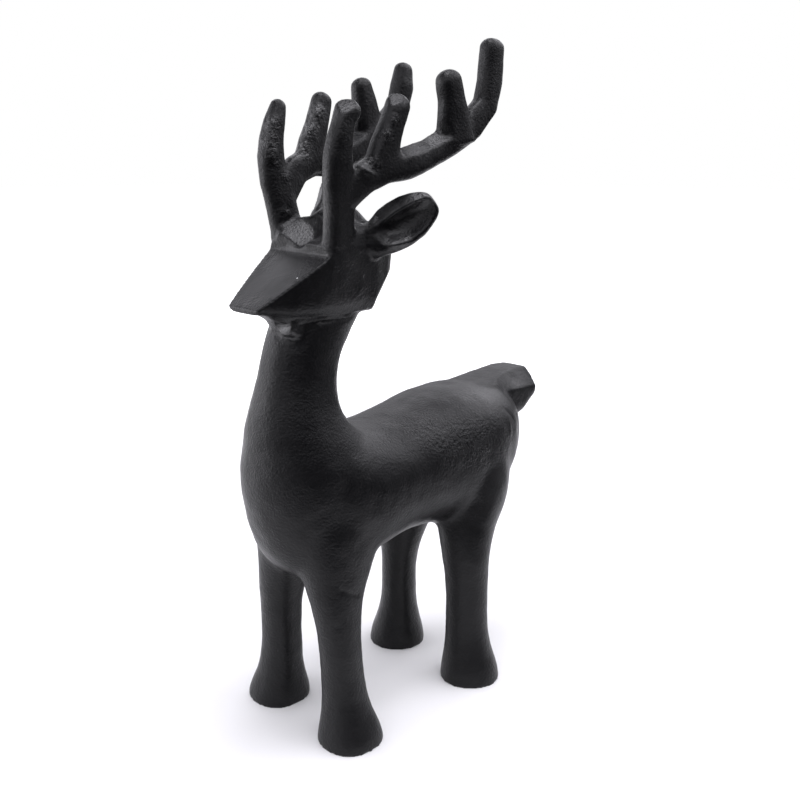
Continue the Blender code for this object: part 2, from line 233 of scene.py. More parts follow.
def melt(form, voxel, smoothing):
    """Unites overlapping skins into one and softens the joins."""
    skin = form.modifiers.new("one skin", "REMESH")
    skin.mode = "VOXEL"
    skin.voxel_size = voxel * MM
    skin.use_smooth_shade = True
    soft = form.modifiers.new("soft joins", "SMOOTH")
    soft.factor = SOFTENING
    soft.iterations = smoothing
    settle(form)


def settle(form):
    """Replaces the form's mesh by what its modifiers make of it."""
    depsgraph = bpy.context.evaluated_depsgraph_get()
    finished = bpy.data.meshes.new_from_object(form.evaluated_get(depsgraph))
    form.modifiers.clear()
    form.data = finished


broad = [barrel("trunk", TRUNK, TRUNK_POWER)]
across = Vector((1, 0, 0))
along = Vector((0, 1, 0))
neck_rings = []
for z, y, half_across, half_along in NECK:
    centre = place(0, y, z)
    neck_rings.append(rounded_section(centre, across, along, half_across, half_along, NECK_POWER))
broad.append(loft("neck", neck_rings))
for side in (1, -1):
    broad.append(leg("front leg", side, FRONT_HOOF_Y, FRONT_LEG, FRONT_LEG_TURN))
    broad.append(leg("rear leg", side, REAR_HOOF_Y, REAR_LEG, REAR_LEG_TURN))
body = join("body", broad)
melt(body, TRUNK_VOXEL, TRUNK_SMOOTHING)

# Head. A wedge with flat cheeks and a square jaw, cast with the neck; the muzzle's flat top
# and the short upright forehead behind it are filed flat and meet in a sharp inner corner.
# Slices across it from the nose to the nape: y, top, bottom, half across top, half across jaw
HEAD = [
    (-90.0, 240.0, 231.0, 13.4, 10.0),
    (-84.0, 244.0, 230.8, 15.0, 11.8),
    (-66.0, 254.0, 227.6, 20.6, 17.0),
    (-54.0, 260.0, 226.6, 24.2, 20.4),
    (-48.0, 263.5, 226.4, 25.8, 21.0),
    (-41.0, 266.0, 226.2, 26.2, 21.2),
    (-35.0, 270.0, 226.0, 25.6, 21.2),
    (-28.0, 273.0, 226.0, 24.4, 21.0),
    (-16.0, 273.0, 225.6, 22.8, 19.8),
    (-6.0, 267.0, 226.6, 18.8, 16.8),
    (2.6, 259.0, 241.0, 11.6, 9.4),
]
HEAD_POWER = 5.5
# Poll, the mound between the antlers: y, top, bottom, half across
POLL = [
    (-41.0, 268.0, 258.0, 9.0),
    (-35.0, 276.0, 258.0, 12.0),
    (-28.0, 280.0, 258.0, 12.5),
    (-18.0, 279.0, 258.0, 11.5),
    (-8.0, 271.0, 256.0, 9.0),
]
POLL_POWER = 2.2
# Throat, a wedge under the jaw: y, top, bottom, half across top and below
THROAT = [
    (-76.0, 232.0, 228.8, 6.0, 5.6),
    (-70.0, 232.0, 225.6, 8.4, 8.0),
    (-66.0, 232.0, 220.6, 9.4, 9.0),
    (-61.5, 232.0, 215.8, 9.8, 9.4),
    (-52.0, 232.0, 212.0, 10.0, 9.4),
]
THROAT_POWER = 7.0
# The wedge sits towards the animal's left, where it shows as a small bright facet
THROAT_ASIDE = 4.6
# Crown, a low swelling before the right antler, filed to a facet: y, top, bottom, half across
CROWN = [
    (-53.0, 263.0, 256.0, 7.0),
    (-48.0, 269.0, 256.0, 10.0),
    (-42.0, 272.0, 256.0, 12.0),
    (-36.0, 274.0, 256.0, 12.0),
    (-30.0, 273.0, 256.0, 9.0),
]
CROWN_POWER = 2.4
CROWN_ASIDE = -8.0
NOSE_EDGE = (-84.4, 233.4)
BROW_EDGE = (-49.6, 256.8)
FOREHEAD_LEAN = -0.14

crisp = [body]
crisp.append(barrel("head", HEAD, HEAD_POWER))
crisp.append(barrel("poll", POLL, POLL_POWER))
crisp.append(barrel("throat", THROAT, THROAT_POWER, THROAT_ASIDE))
crisp.append(barrel("crown", CROWN, CROWN_POWER, CROWN_ASIDE))

# Tail. A short blunt block that stands straight out behind the rump, cast in one with it
# and a little narrower towards its end, which is filed flat.
# From inside the rump to past its blunt end: y, top, bottom, half across
TAIL = [
    (74.0, 171.0, 148.0, 17.0),
    (90.0, 172.6, 146.0, 17.0),
    (102.0, 174.0, 144.0, 16.5),
    (112.0, 174.6, 147.0, 16.2),
    (122.0, 173.8, 155.4, 15.6),
    (128.0, 173.8, 160.0, 15.0),
]
TAIL_POWER = 4.5

crisp.append(barrel("tail", TAIL, TAIL_POWER))

# Antlers. Flat bars about 10 mm thick that fork three times, cast in the same mould as the head
# and dressed by hand, so their ends differ by a few millimetres from side to side.
# One antler's bars: x from the middle, y, z, half thickness, and half depth along the flat side
ANTLER_STEM = [
    (17.6, -38.0, 246.0, 5.4, 8.6),
    (18.6, -40.8, 257.0, 5.4, 8.8),
    (20.4, -41.2, 267.0, 5.4, 8.6),
    (22.4, -42.4, 278.0, 5.0, 8.2),
    (24.6, -44.8, 291.0, 5.0, 8.0),
    (26.0, -45.8, 303.0, 5.2, 7.0),
    (26.4, -44.5, 312.0, 5.2, 5.9),
    (26.6, -42.2, 320.0, 5.0, 5.1),
    (26.7, -39.8, 326.0, 4.6, 4.7),
]
ANTLER_BEAM = [
    (23.6, -40.0, 285.0, 4.8, 7.8),
    (26.4, -30.0, 293.4, 5.0, 7.8),
    (28.0, -18.0, 298.0, 5.0, 8.0),
    (29.2, -4.0, 299.8, 5.0, 8.2),
    (30.2, 10.0, 304.2, 5.0, 7.4),
    (31.6, 24.0, 310.4, 5.0, 7.6),
    (32.4, 38.4, 318.0, 5.0, 7.5),
    (32.8, 48.8, 328.0, 5.2, 6.9),
    (32.8, 52.2, 340.0, 5.4, 6.7),
    (32.8, 53.4, 353.4, 5.2, 6.4),
]
ANTLER_SECOND_TINE = [
    (27.8, -20.0, 299.0, 4.8, 9.4),
    (28.2, -17.4, 309.0, 4.8, 7.8),
    (28.6, -13.6, 318.0, 4.8, 6.4),
    (28.9, -9.6, 330.8, 4.8, 5.8),
]
ANTLER_THIRD_TINE = [
    (32.6, 26.6, 309.0, 5.0, 13.2),
    (32.8, 25.8, 320.0, 5.0, 9.8),
    (32.8, 23.6, 331.0, 5.2, 7.2),
    (32.7, 21.4, 339.4, 5.2, 6.4),
]
ANTLER_POWER = 3.0
# Turn of the flat side in plan, at the root of the stem and from the first fork on
ROOT_TOE = math.radians(-14)
FORK_TOE = math.radians(5)
FORK_HEIGHT = 300.0
# Added height and added half size of each end, for the animal's left side, 1, and its right side, -1
STEM_END = {1: (-2.2, 1.2), -1: (1.1, -0.8)}
BEAM_END = {1: (3.0, 0.0), -1: (-4.5, -0.9)}
SECOND_TINE_END = {1: (-3.4, 0.3), -1: (0.0, -0.4)}
THIRD_TINE_END = {1: (0.0, 0.2), -1: (-0.2, -0.6)}
# The right antler's beam leaves its stem a little higher
BEAM_ROOT_LIFT = {1: 0.0, -1: 2.2}
TIP_STEPS = 7
# Each bar's stations, the turn of its flat side at its root, and how its end differs
ANTLER = [
    ("stem", ANTLER_STEM, ROOT_TOE, STEM_END),
    ("beam", ANTLER_BEAM, FORK_TOE, BEAM_END),
    ("second tine", ANTLER_SECOND_TINE, FORK_TOE, SECOND_TINE_END),
    ("third tine", ANTLER_THIRD_TINE, FORK_TOE, THIRD_TINE_END),
]


def limb(name, stations, side, root_toe):
    """Sweeps a rounded flat bar through its stations and rounds off its far end."""
    centres = [place(x, y, z) for x, y, z, thin, deep in stations]
    last = len(stations) - 1
    rings = []
    stem_height = FORK_HEIGHT - ANTLER_STEM[0][2]
    for index, (x, y, z, thin, deep) in enumerate(stations):
        below_fork = max(0.0, FORK_HEIGHT - z) / stem_height
        toe = FORK_TOE + (root_toe - FORK_TOE) * below_fork
        thick_side = Vector((math.cos(toe), -side * math.sin(toe), 0))
        along = (centres[min(index + 1, last)] - centres[max(index - 1, 0)]).normalized()
        deep_side = along.cross(thick_side).normalized()
        across = deep_side.cross(along).normalized()
        rings.append(rounded_section(centres[index], across, deep_side, thin, deep, ANTLER_POWER))
    tip_reach = min(thin, deep)
    for step in range(1, TIP_STEPS + 1):
        turn = math.pi / 2 * step / (TIP_STEPS + 1)
        centre = centres[last] + along * (math.sin(turn) * tip_reach * MM)
        thin_left = thin * math.cos(turn)
        deep_left = deep * math.cos(turn)
        rings.append(rounded_section(centre, across, deep_side, thin_left, deep_left, ANTLER_POWER))
    return loft(name, rings)


for side in (1, -1):
    for name, stations, root_toe, end in ANTLER:
        mirrored = [(side * x, y, z, thin, deep) for x, y, z, thin, deep in stations]
        taller, fuller = end[side]
        x, y, z, thin, deep = mirrored[-1]
        mirrored[-1] = (x, y, z + taller, thin + fuller, deep + fuller)
        if name == "beam":
            for index in (1, 2):
                x, y, z, thin, deep = mirrored[index]
                mirrored[index] = (x, y, z + BEAM_ROOT_LIFT[side], thin, deep)
        crisp.append(limb(name, mirrored, side, root_toe))

# Ears. Two leaf-shaped scoops with a thick rim, standing out behind the antlers. They are
# cast in one with the head, and the upper rim of each is filed to a bevel.
EAR_ROOT = (19.0, -22.0, 260.0)
EAR_TIP = (40.2, 4.6, 281.6)
EAR_FACES = (0.70, -0.62, 0.10)
# Half the leaf's thickness, and how deep its face is scooped
EAR_THICKNESS = 6.2
EAR_HOLLOW = 7.6
# The scoop is deepest near the middle, with a steep wall over it and a gentle one below
EAR_SCOOP_MIDDLE = 0.0
EAR_SCOOP_UP = 0.50
EAR_SCOOP_DOWN = 0.84
# The right ear stands a little higher than the left
EAR_LIFT = {1: 0.0, -1: 3.4}
# Ear stations: share of its length, half width, share of the hollow's depth
EAR = [
    (0.0, 8.0, 0.0),
    (0.16, 9.8, 0.0),
    (0.32, 11.6, 0.85),
    (0.50, 12.2, 1.0),
    (0.66, 11.6, 1.0),
    (0.80, 10.0, 0.9),
    (0.91, 8.0, 0.5),
    (0.98, 5.6, 0.0),
    (1.0, 3.4, 0.0),
]


def ear(name, side):
    """A leaf with a scooped face, closed at both ends."""
    root = place(side * EAR_ROOT[0], EAR_ROOT[1], EAR_ROOT[2] + EAR_LIFT[side])
    tip = place(side * EAR_TIP[0], EAR_TIP[1], EAR_TIP[2] + EAR_LIFT[side])
    faces = Vector((side * EAR_FACES[0], EAR_FACES[1], EAR_FACES[2]))
    length = (tip - root).normalized()
    faces = (faces - length * faces.dot(length)).normalized()
    wide = faces.cross(length).normalized()
    rings = []
    for share, half_width, hollow in EAR:
        centre = root.lerp(tip, share)
        ring = []
        for step in range(RING_POINTS):
            angle = 2 * math.pi * step / RING_POINTS
            across = math.cos(angle)
            thick = math.sin(angle) * EAR_THICKNESS * min(1.0, half_width / EAR_THICKNESS)
            above_scoop = across * side - EAR_SCOOP_MIDDLE
            from_scoop = above_scoop / EAR_SCOOP_UP if above_scoop > 0 else -above_scoop / EAR_SCOOP_DOWN
            if thick > 0 and from_scoop < 1:
                thick = thick - EAR_HOLLOW * hollow * (1 - from_scoop**2)
            ring.append(centre + (wide * across * half_width + faces * thick) * MM)
        rings.append(ring)
    return loft(name, rings)


for side in (1, -1):
    crisp.append(ear("ear", side))

# The casting. All forms become one skin, as they leave the one mould. The muzzle, nose, soles
# and tail end are ground flat, and small places on the antlers, the jaw and the crown are
# filed or dented by hand. The sand's own grain and pits cover what is left.
SKIN_VOXEL = 1.0
SKIN_SMOOTHING = 4
# How far the cutters reach to each side, past the ends and over the brow
CUTTER_HALF_WIDTH = 60.0
CUTTER_REACH = 20.0
FOREHEAD_CUT_HEIGHT = 24.0
MUZZLE_CUT_HALF_WIDTH = 26.0
NOSE_CUT_LOWEST = 200.0
TAIL_CUT_HEIGHTS = (130.0, 200.0)


def cut(form, name, prisms):
    """Cuts (y, z) profiles, each drawn out from one x to another, from the form."""
    mesh = bpy.data.meshes.new(name)
    built = bmesh.new()
    for profile, from_x, to_x in prisms:
        left = [built.verts.new(place(to_x, y, z)) for y, z in profile]
        right = [built.verts.new(place(from_x, y, z)) for y, z in profile]
        built.faces.new(left)
        built.faces.new(right[::-1])
        count = len(profile)
        for step in range(count):
            after = (step + 1) % count
            built.faces.new((left[after], left[step], right[step], right[after]))
    bmesh.ops.recalc_face_normals(built, faces=built.faces)
    built.to_mesh(mesh)
    built.free()
    cutter = bpy.data.objects.new(name, mesh)
    bpy.context.scene.collection.objects.link(cutter)
    away = form.modifiers.new(name, "BOOLEAN")
    away.operation = "DIFFERENCE"
    away.solver = "EXACT"
    away.object = cutter
    settle(form)
    bpy.data.objects.remove(cutter)


casting = join("reindeer_casting", crisp)
melt(casting, SKIN_VOXEL, SKIN_SMOOTHING)

first_y = NOSE_END - CUTTER_REACH
last_y = TAIL_END + CUTTER_REACH
under = GROUND - CUTTER_REACH
low, high = TAIL_CUT_HEIGHTS
brow_y, brow_height = BROW_EDGE
forehead_top = brow_height + FOREHEAD_CUT_HEIGHT
sole_profile = [(first_y, GROUND), (last_y, GROUND), (last_y, under), (first_y, under)]
tail_profile = [(TAIL_END, low), (TAIL_END, high), (last_y, high), (last_y, low)]
muzzle_profile = [
    (first_y, NOSE_CUT_LOWEST),
    (NOSE_END, NOSE_CUT_LOWEST),
    NOSE_EDGE,
    BROW_EDGE,
    (brow_y + FOREHEAD_CUT_HEIGHT * FOREHEAD_LEAN, forehead_top),
    (first_y, forehead_top),
]
prisms = [
    (sole_profile, -CUTTER_HALF_WIDTH, CUTTER_HALF_WIDTH),
    (tail_profile, -CUTTER_HALF_WIDTH, CUTTER_HALF_WIDTH),
    (muzzle_profile, -MUZZLE_CUT_HALF_WIDTH, MUZZLE_CUT_HALF_WIDTH),
]
cut(casting, "ground flats", prisms)

# Flats: a point in the plane, the way it faces, how far it reaches, and whether it is also
# filled up to the plane where the form lies under it
FLATS = [
    ((33.0, -12.2, 328.4), (0.50, -0.50, 0.72), 16.0, False),
    ((31.0, -43.6, 323.8), (0.40, -0.47, 0.79), 22.0, False),
    ((-6.0, -44.0, 265.2), (0.44, -0.42, 0.79), 14.0, True),
    ((31.8, -12.4, 262.8), (0.44, -0.42, 0.79), 7.5, True),
    ((9.6, -66.4, 223.4), (0.05, -0.95, 0.26), 6.4, True),
    ((13.0, 106.0, 167.6), (0.74, 0.06, 0.67), 22.0, False),
    ((17.9, -10.1, 238.7), (0.661, 0.626, -0.415), 21.0, False),
]
# The outer share of a flat's reach over which it fades
FLAT_FADE = 0.3
# Filed edges: the way the edge faces, its height over the bar's axis, the reach, and the axis
EDGES = [
    ((0.50, -0.36, 0.79), 5.0, 12.0, [(29.4, -5.0, 299.9), (30.2, 10.0, 304.2), (31.0, 19.0, 308.2)]),
    ((0.50, -0.36, 0.79), 5.2, 12.0, [(-29.4, -5.0, 300.9), (-30.2, 10.0, 304.8), (-31.0, 19.0, 308.6)]),
    ((0.53, -0.50, 0.68), 6.5, 14.0, [(25.4, -14.0, 266.5), (36.0, -0.7, 277.3)]),
    ((-0.53, -0.50, 0.68), 6.5, 14.0, [(-25.4, -14.0, 269.9), (-36.0, -0.7, 280.7)]),
]
# The width over which an edge fades, and how many such widths past its ends it stops
EDGE_FADE = 3.0
EDGE_OVERRUN = 1.6
# Dents: place, radius, depth and the way they are pushed
DENTS = [
    ((12.0, 106.0, 169.0), 5.5, 0.5, (-0.74, 0.0, -0.67)),
    ((14.5, -20.0, 274.5), 9.0, 3.2, (-0.6, 0.0, -0.8)),
    ((33.5, -56.9, 68.3), 3.2, 0.35, (-0.86, 0.52, 0.0)),
]
# Lines raised or, with a height below nought, pressed in: half width, height, whether they are
# on both sides, and their path
LINES = [
    (
        1.5,
        0.9,
        True,
        [(13.6, -62.0, 226.6), (17.4, -48.9, 228.2), (18.6, -33.9, 228.0), (18.4, -22.0, 228.4)],
    ),
    (1.3, -0.9, True, [(17.0, -51.0, 225.2), (17.9, -33.9, 225.0), (17.6, -22.0, 225.6)]),
    (
        1.6,
        1.0,
        False,
        [(34.0, -11.0, 326.0), (33.1, -15.6, 320.0), (32.5, -20.3, 312.6), (31.4, -27.2, 299.8)],
    ),
    (1.6, 1.2, False, [(30.4, -36.6, 300.4), (30.4, -33.3, 297.1), (31.6, -28.6, 294.7)]),
    (1.2, -0.9, False, [(30.7, 75.5, 159.9), (34.3, 82.6, 150.7)]),
    (1.8, 0.6, False, [(33.4, 75.0, 156.4), (36.7, 74.4, 146.6)]),
    (1.1, -0.7, False, [(33.5, -53.8, 88.1), (34.5, -49.3, 85.2), (34.4, -43.7, 82.1)]),
    (2.0, 0.5, True, [(24.4, -46.7, 262.6), (23.6, -38.0, 261.4), (23.3, -27.5, 259.4)]),
    (2.2, 1.2, True, [(22.6, -24.4, 268.4), (24.0, -21.6, 269.6)]),
    (1.6, 1.0, False, [(-24.6, -15.6, 324.8), (-24.9, -21.0, 315.8), (-24.5, -26.2, 305.8)]),
    (1.6, 0.8, False, [(-22.5, -46.9, 318.5), (-21.9, -48.8, 310.8), (-20.9, -48.6, 303.0)]),
]
# Where the frame's origin lies among the stance's shares
STANCE = np.array([0.0, MIDDLE_Y, GROUND])


def skin_of(form):
    """The form's points as shares from the stance, and the way each one faces."""
    count = len(form.data.vertices)
    points = np.empty(count * 3)
    faces = np.empty(count * 3)
    form.data.vertices.foreach_get("co", points)
    form.data.vertex_normals.foreach_get("vector", faces)
    points = points.reshape(-1, 3) / MM + STANCE
    return points, faces.reshape(-1, 3)


def give_skin(form, points):
    """Puts worked points back on the form."""
    back = (points - STANCE) * MM
    form.data.vertices.foreach_set("co", back.ravel())
    form.data.update()


def file_flat(points, faces, middle, plane_faces, reach, filled):
    """Brings the skin that faces a plane's way down to it, and up to it if filled, fading out."""
    unit = np.array(plane_faces) / np.linalg.norm(plane_faces)
    above = (points - middle) @ unit
    above = above * (faces @ unit > 0) if filled else np.maximum(above, 0)
    share = np.clip((reach - np.linalg.norm(points - middle, axis=1)) / (reach * FLAT_FADE), 0, 1)
    points -= (above * share)[:, None] * unit


def off_path(points, path):
    """How far each point lies from the nearest place on a path, and which way."""
    nearest = np.full(len(points), np.inf)
    away = np.zeros_like(points)
    for start, end in zip(path, path[1:]):
        start = np.array(start)
        run = np.array(end) - start
        share = np.clip((points - start) @ run / (run @ run), 0, 1)
        off = points - start - share[:, None] * run
        distance = np.linalg.norm(off, axis=1)
        closer = distance < nearest
        nearest[closer] = distance[closer]
        away[closer] = off[closer]
    return nearest, away


def file_edge(points, edge_faces, height, reach, axis):
    """Files a bar's edge to a flat at a height over its axis, fading out round it and at its ends."""
    unit = np.array(edge_faces) / np.linalg.norm(edge_faces)
    nearest, off_axis = off_path(points, axis)
    run = np.array(axis[-1]) - np.array(axis[0])
    past_end = np.abs(off_axis @ run) / np.linalg.norm(run)
    share = np.clip((reach - nearest) / EDGE_FADE, 0, 1)
    share = share * np.clip(EDGE_OVERRUN - past_end / EDGE_FADE, 0, 1)
    points -= (np.maximum(off_axis @ unit - height, 0) * share)[:, None] * unit


def dent(points, middle, radius, depth, push):
    """Presses a round soft hollow."""
    share = np.clip(1 - (np.linalg.norm(points - middle, axis=1) / radius) ** 2, 0, 1) ** 2
    points += share[:, None] * np.array(push) * depth


def line_work(points, faces, path, half_width, height):
    """Raises the skin along a path, or presses it in."""
    nearest = off_path(points, path)[0]
    points += faces * (height * np.exp(-((nearest / half_width) ** 2)))[:, None]


points, faces = skin_of(casting)
for flat in FLATS:
    file_flat(points, faces, *flat)
for edge in EDGES:
    file_edge(points, *edge)
for hollow in DENTS:
    dent(points, *hollow)
for half_width, height, both, path in LINES:
    line_work(points, faces, path, half_width, height)
    if both:
        line_work(points, faces, [(-x, y, z) for x, y, z in path], half_width, height)
give_skin(casting, points)
FINE_VOXEL = 0.85
FINE_SMOOTHING = 1
melt(casting, FINE_VOXEL, FINE_SMOOTHING)

# Where the sand broke away and left pits: place, radius and strength
PITTED = [
    ((-22.5, -46.9, 318.5), 5.0, 0.7),
    ((-21.9, -48.8, 310.8), 5.5, 1.0),
    ((-20.9, -48.6, 303.0), 5.5, 1.0),
    ((-20.4, -42.3, 293.3), 4.0, 0.8),
    ((-24.6, -15.6, 324.8), 5.5, 0.8),
    ((-24.9, -21.0, 315.8), 6.0, 1.0),
    ((-24.5, -26.2, 305.8), 6.0, 1.0),
    ((-16.5, -44.5, 275.0), 3.6, 0.7),
    ((33.1, -15.6, 320.0), 3.6, 0.8),
    ((32.5, -20.3, 312.6), 4.0, 1.0),
    ((31.4, -27.2, 299.8), 4.5, 0.7),
    ((37.6, -4.4, 281.0), 4.0, 0.5),
]
# Ground faces, where no grain stands, in the same terms
GROUND_FACES = [
    ((-8.0, -70.0, 244.0), 15.0, 1.0),
    ((8.0, -70.0, 244.0), 15.0, 1.0),
    ((0.0, -58.0, 252.0), 17.0, 1.0),
]
# How steeply a mark falls off to nothing at its radius
MARK_SLOPE = 1.6


def mark(form, name, spots):
    """Writes how strongly round spots mark each point of the form."""
    points = skin_of(form)[0]
    strength = np.zeros(len(points))
    for middle, radius, most in spots:
        away = np.linalg.norm(points - middle, axis=1) / radius
        strength = np.maximum(strength, most * np.clip(MARK_SLOPE - MARK_SLOPE * away, 0, 1))
    layer = form.data.attributes.new(name, "FLOAT", "POINT")
    layer.data.foreach_set("value", strength)


def add(tree, kind, settings=None, **links):
    """Adds a node with its settings; links gives each input's value or the socket that feeds it."""
    node = tree.nodes.new(kind)
    for name, value in (settings or {}).items():
        setattr(node, name, value)
    for name, value in links.items():
        numbered = name[0] == "i" and name[1:].isdigit()
        socket = node.inputs[int(name[1:])] if numbered else node.inputs[name.replace("_", " ")]
        if isinstance(value, bpy.types.NodeSocket):
            tree.links.new(value, socket)
        else:
            socket.default_value = value
    return node


mark(casting, "pitted", PITTED)
mark(casting, "ground", GROUND_FACES)
coat = bpy.data.materials.new("matt black enamel on cast aluminium")

# Sizes of the sand's marks in millimetres. The grain is drawn twice as coarse as moulding
# sand leaves it, so that it shows.
SKIN_SIZES = {
    "Swell Size": 9.0,
    "Swell Depth": 0.60,
    "Grain Size": 2.4,
    "Grain Depth": 0.15,
    "Pit Spacing": 1.9,
    "Pit Radius": 1.15,
    "Pit Depth": 0.50,
    "Sole Height": 3.0,
}
# What pitted places add to the grain, as a share of it, and the middle value of a noise
PITTED_GRAIN = 2.5
NOISE_MIDDLE = 0.5
SKIN_SEED = 7
METRES = 0.001
skin_tree = bpy.data.node_groups.new("sand cast skin", "GeometryNodeTree")
ways = skin_tree.interface
ways.new_socket("Casting", in_out="INPUT", socket_type="NodeSocketGeometry")
for name in SKIN_SIZES:
    ways.new_socket(name, in_out="INPUT", socket_type="NodeSocketFloat")
ways.new_socket("Seed", in_out="INPUT", socket_type="NodeSocketInt")
ways.new_socket("Coat", in_out="INPUT", socket_type="NodeSocketMaterial")
ways.new_socket("Casting", in_out="OUTPUT", socket_type="NodeSocketGeometry")
given = add(skin_tree, "NodeGroupInput").outputs
where = add(skin_tree, "GeometryNodeInputPosition").outputs[0]
outward = add(skin_tree, "GeometryNodeInputNormal").outputs[0]
pitted = add(skin_tree, "GeometryNodeInputNamedAttribute", {"data_type": "FLOAT"}, Name="pitted").outputs[0]
ground = add(skin_tree, "GeometryNodeInputNamedAttribute", {"data_type": "FLOAT"}, Name="ground").outputs[0]
swell_scale = add(
    skin_tree, "ShaderNodeMath", {"operation": "DIVIDE"}, i0=1.0, i1=given["Swell Size"]
).outputs[0]
swell = add(skin_tree, "ShaderNodeTexNoise", None, Vector=where, Scale=swell_scale, Detail=1.0).outputs[0]
swell = add(skin_tree, "ShaderNodeMath", {"operation": "SUBTRACT"}, i0=swell, i1=NOISE_MIDDLE).outputs[0]
swell = add(
    skin_tree, "ShaderNodeMath", {"operation": "MULTIPLY"}, i0=swell, i1=given["Swell Depth"]
).outputs[0]
grain_scale = add(
    skin_tree, "ShaderNodeMath", {"operation": "DIVIDE"}, i0=1.0, i1=given["Grain Size"]
).outputs[0]
grain = add(skin_tree, "ShaderNodeTexNoise", None, Vector=where, Scale=grain_scale, Detail=2.0).outputs[0]
grain = add(skin_tree, "ShaderNodeMath", {"operation": "SUBTRACT"}, i0=grain, i1=NOISE_MIDDLE).outputs[0]
roughened = add(
    skin_tree, "ShaderNodeMath", {"operation": "MULTIPLY_ADD"}, i0=pitted, i1=PITTED_GRAIN, i2=1.0
).outputs[0]
grain = add(skin_tree, "ShaderNodeMath", {"operation": "MULTIPLY"}, i0=grain, i1=roughened).outputs[0]
grain = add(
    skin_tree, "ShaderNodeMath", {"operation": "MULTIPLY"}, i0=grain, i1=given["Grain Depth"]
).outputs[0]
spacing_square = add(
    skin_tree, "ShaderNodeMath", {"operation": "POWER"}, i0=given["Pit Spacing"], i1=2.0
).outputs[0]
pits_a_square = add(
    skin_tree, "ShaderNodeMath", {"operation": "DIVIDE"}, i0=pitted, i1=spacing_square
).outputs[0]
pit_places = add(
    skin_tree,
    "GeometryNodeDistributePointsOnFaces",
    {"distribute_method": "RANDOM"},
    Mesh=given["Casting"],
    Density=pits_a_square,
    Seed=given["Seed"],
).outputs[0]
pit_distance = add(skin_tree, "GeometryNodeProximity", {"target_element": "POINTS"}, i0=pit_places)
pit_distance = pit_distance.outputs["Distance"]
pit = add(
    skin_tree,
    "ShaderNodeMapRange",
    {"interpolation_type": "SMOOTHSTEP"},
    Value=pit_distance,
    From_Min=0.0,
    From_Max=given["Pit Radius"],
    To_Min=given["Pit Depth"],
    To_Max=0.0,
).outputs[0]
raised = add(skin_tree, "ShaderNodeMath", {"operation": "ADD"}, i0=swell, i1=grain).outputs[0]
smooth = add(skin_tree, "ShaderNodeMath", {"operation": "SUBTRACT"}, i0=1.0, i1=ground).outputs[0]
raised = add(skin_tree, "ShaderNodeMath", {"operation": "MULTIPLY"}, i0=raised, i1=smooth).outputs[0]
raised = add(skin_tree, "ShaderNodeMath", {"operation": "SUBTRACT"}, i0=raised, i1=pit).outputs[0]
height = add(skin_tree, "ShaderNodeSeparateXYZ", None, i0=where).outputs[2]
off_sole = add(
    skin_tree,
    "ShaderNodeMapRange",
    None,
    Value=height,
    From_Min=0.0,
    From_Max=given["Sole Height"],
    To_Min=0.0,
    To_Max=1.0,
).outputs[0]
raised = add(skin_tree, "ShaderNodeMath", {"operation": "MULTIPLY"}, i0=raised, i1=off_sole).outputs[0]
move = add(skin_tree, "ShaderNodeVectorMath", {"operation": "SCALE"}, i0=outward, Scale=raised).outputs[0]
moved = add(skin_tree, "GeometryNodeSetPosition", None, Geometry=given["Casting"], Offset=move).outputs[0]
whole = add(skin_tree, "GeometryNodeRealizeInstances", None, Geometry=moved).outputs[0]
coated = add(skin_tree, "GeometryNodeSetMaterial", None, Geometry=whole, Material=given["Coat"]).outputs[0]
add(skin_tree, "NodeGroupOutput", None, Casting=coated)

relief = casting.modifiers.new("sand cast skin", "NODES")
relief.node_group = skin_tree
sockets = {item.name: item.identifier for item in ways.items_tree if item.in_out == "INPUT"}
for name, millimetres in SKIN_SIZES.items():
    relief[sockets[name]] = millimetres * METRES
relief[sockets["Seed"]] = SKIN_SEED
relief[sockets["Coat"]] = coat
FINISHED_TRIANGLES = 190000
casting.data.calc_loop_triangles()
thinner = casting.modifiers.new("thinner", "DECIMATE")
thinner.ratio = FINISHED_TRIANGLES / len(casting.data.loop_triangles)
settle(casting)
for layer in list(casting.data.attributes):
    if layer.name in ("pitted", "ground"):
        casting.data.attributes.remove(layer)

# Places where the brush's hairs show in the coat: place, radius and strength
BRUSHED = [
    ((-2.7, 2.7, 163.1), 16.0, 1.0),
    ((11.0, 5.1, 162.6), 16.0, 1.0),
    ((19.2, 10.0, 161.0), 14.0, 0.8),
    ((3.8, 82.6, 172.0), 14.0, 0.8),
    ((14.3, 87.1, 170.6), 12.0, 0.8),
    ((8.6, -78.4, 173.6), 20.0, 0.8),
    ((11.5, -80.1, 154.1), 22.0, 1.0),
    ((16.7, -78.4, 142.0), 20.0, 1.0),
    ((-20.0, -64.0, 84.0), 16.0, 0.6),
]
# Places where the coat is mottled, in the same terms
MOTTLED = [
    ((26.5, 16.7, 157.8), 18.0, 0.8),
    ((33.6, 29.2, 151.0), 20.0, 1.0),
    ((36.1, 45.4, 148.1), 20.0, 1.0),
    ((34.0, 62.0, 146.0), 18.0, 0.7),
]
